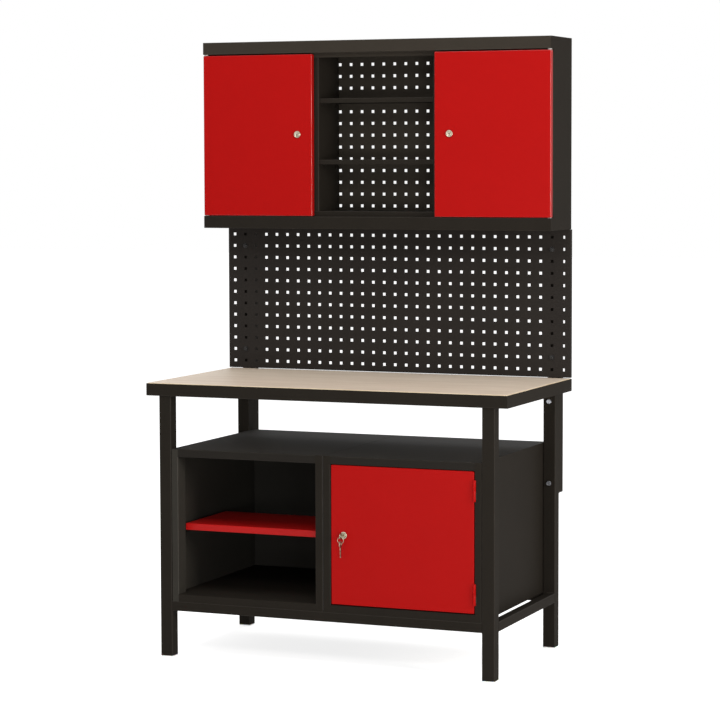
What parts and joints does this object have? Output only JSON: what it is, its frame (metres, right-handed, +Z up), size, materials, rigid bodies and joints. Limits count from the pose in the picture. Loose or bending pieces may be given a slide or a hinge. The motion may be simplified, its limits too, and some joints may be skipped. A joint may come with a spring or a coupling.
{
  "type": "workbench with cabinet doors",
  "caption": "Steel workbench with a wooden worktop, a base cabinet with a shelf and a lockable door, a perforated back panel and a wall cabinet with lockable doors.",
  "frame": {"origin": "on the floor, at the centre of the object's overall box", "axes": "+Z up, +X to the right of somebody standing at the bench, -Y towards them"},
  "size_m": [1.186, 0.6862, 1.9235],
  "materials": {
    "black_paint": "satin powder coat with a fine texture",
    "red_paint": "semi-gloss powder coat",
    "worktop_laminate": "smooth matt oiled board",
    "glide_plastic": "pale translucent moulding",
    "black_plastic": "moulded, matt",
    "pale_plastic": "moulded, matt",
    "zinc_steel": "zinc plated",
    "dark_steel": "black oxide",
    "chrome": "polished",
    "key_steel": "nickel plated"
  },
  "bodies": {
    "bench": {"leg_front_left": "black_paint", "leg_front_right": "black_paint", "leg_rear_left": "black_paint", "leg_rear_right": "black_paint", "foot_glides": "glide_plastic", "rail_front": "black_paint", "rail_rear": "black_paint", "rail_left": "black_paint", "rail_right": "black_paint", "worktop_board": "worktop_laminate", "worktop_edge_front": "black_paint", "worktop_edge_rear": "black_paint", "worktop_edge_left": "black_paint", "worktop_edge_right": "black_paint", "worktop_straps": "black_paint", "upright_left": "black_paint", "upright_right": "black_paint", "upright_caps": "black_plastic", "upright_bolts": "zinc_steel", "perforated_panel": "black_paint", "panel_screws": "dark_steel", "wall_cabinet_back": "black_paint", "wall_cabinet_top": "black_paint", "wall_cabinet_bottom": "black_paint", "wall_cabinet_side_left": "black_paint", "wall_cabinet_side_right": "black_paint", "wall_divider_left": "black_paint", "wall_divider_right": "black_paint", "wall_shelf_upper": "black_paint", "wall_shelf_lower": "black_paint", "wall_side_shelf_left": "black_paint", "wall_side_shelf_right": "black_paint", "wall_shelf_clips": "black_paint", "wall_door_pivot_pins": "zinc_steel", "wall_door_pivot_washers": "pale_plastic", "base_top_left": "black_paint", "base_top_right": "black_paint", "base_side_left": "black_paint", "base_side_right": "black_paint", "base_divider_left": "black_paint", "base_divider_right": "black_paint", "base_bottom_left": "black_paint", "base_bottom_right": "black_paint", "base_cabinet_back": "black_paint", "base_shelf": "red_paint", "base_shelf_brackets": "black_paint", "base_hinge_pins": "red_paint"},
    "wall_door_left": {"wall_door_left": "red_paint", "wall_lock_body_left": "chrome"},
    "wall_lock_cam_left": {"wall_lock_plug_left": "chrome"},
    "wall_door_right": {"wall_door_right": "red_paint", "wall_lock_body_right": "chrome"},
    "wall_lock_cam_right": {"wall_lock_plug_right": "chrome"},
    "base_door": {"base_door": "red_paint", "base_hinge_barrels": "red_paint", "base_lock_body": "chrome"},
    "base_lock_cam": {"base_lock_plug": "chrome"},
    "key": {"key": "key_steel"},
    "key_ring": {"key_ring": "key_steel", "spare_key": "key_steel"}
  },
  "joints": [
    {"name": "wall_door_left_hinge", "type": "hinge", "parent": "bench", "child": "wall_door_left", "pos_m": [-0.583, 0.1071, 1.62], "axis": [0, 0, -1], "range_deg": [0, 110]},
    {"name": "wall_door_right_hinge", "type": "hinge", "parent": "bench", "child": "wall_door_right", "pos_m": [0.583, 0.1071, 1.62], "axis": [0, 0, 1], "range_deg": [0, 110]},
    {"name": "wall_lock_left_turn", "type": "hinge", "parent": "wall_door_left", "child": "wall_lock_cam_left", "pos_m": [-0.2583, 0.0971, 1.627], "axis": [0, -1, 0], "range_deg": [0, 90]},
    {"name": "wall_lock_right_turn", "type": "hinge", "parent": "wall_door_right", "child": "wall_lock_cam_right", "pos_m": [0.2583, 0.0971, 1.627], "axis": [0, 1, 0], "range_deg": [0, 90]},
    {"name": "base_door_hinge", "type": "hinge", "parent": "bench", "child": "base_door", "pos_m": [0.4884, -0.3094, 0.414], "axis": [0, 0, 1], "range_deg": [0, 110]},
    {"name": "base_lock_turn", "type": "hinge", "parent": "base_door", "child": "base_lock_cam", "pos_m": [0.0685, -0.3079, 0.414], "axis": [0, 1, 0], "range_deg": [0, 90]},
    {"name": "key_slide", "type": "slide", "parent": "base_lock_cam", "child": "key", "axis": [0, -1, 0], "range_m": [0, 0.03]},
    {"name": "key_ring_swing", "type": "hinge", "parent": "key", "child": "key_ring", "pos_m": [0.0685, -0.3331, 0.41175], "axis": [0, -1, 0], "range_deg": [-30, 30]}
  ]
}
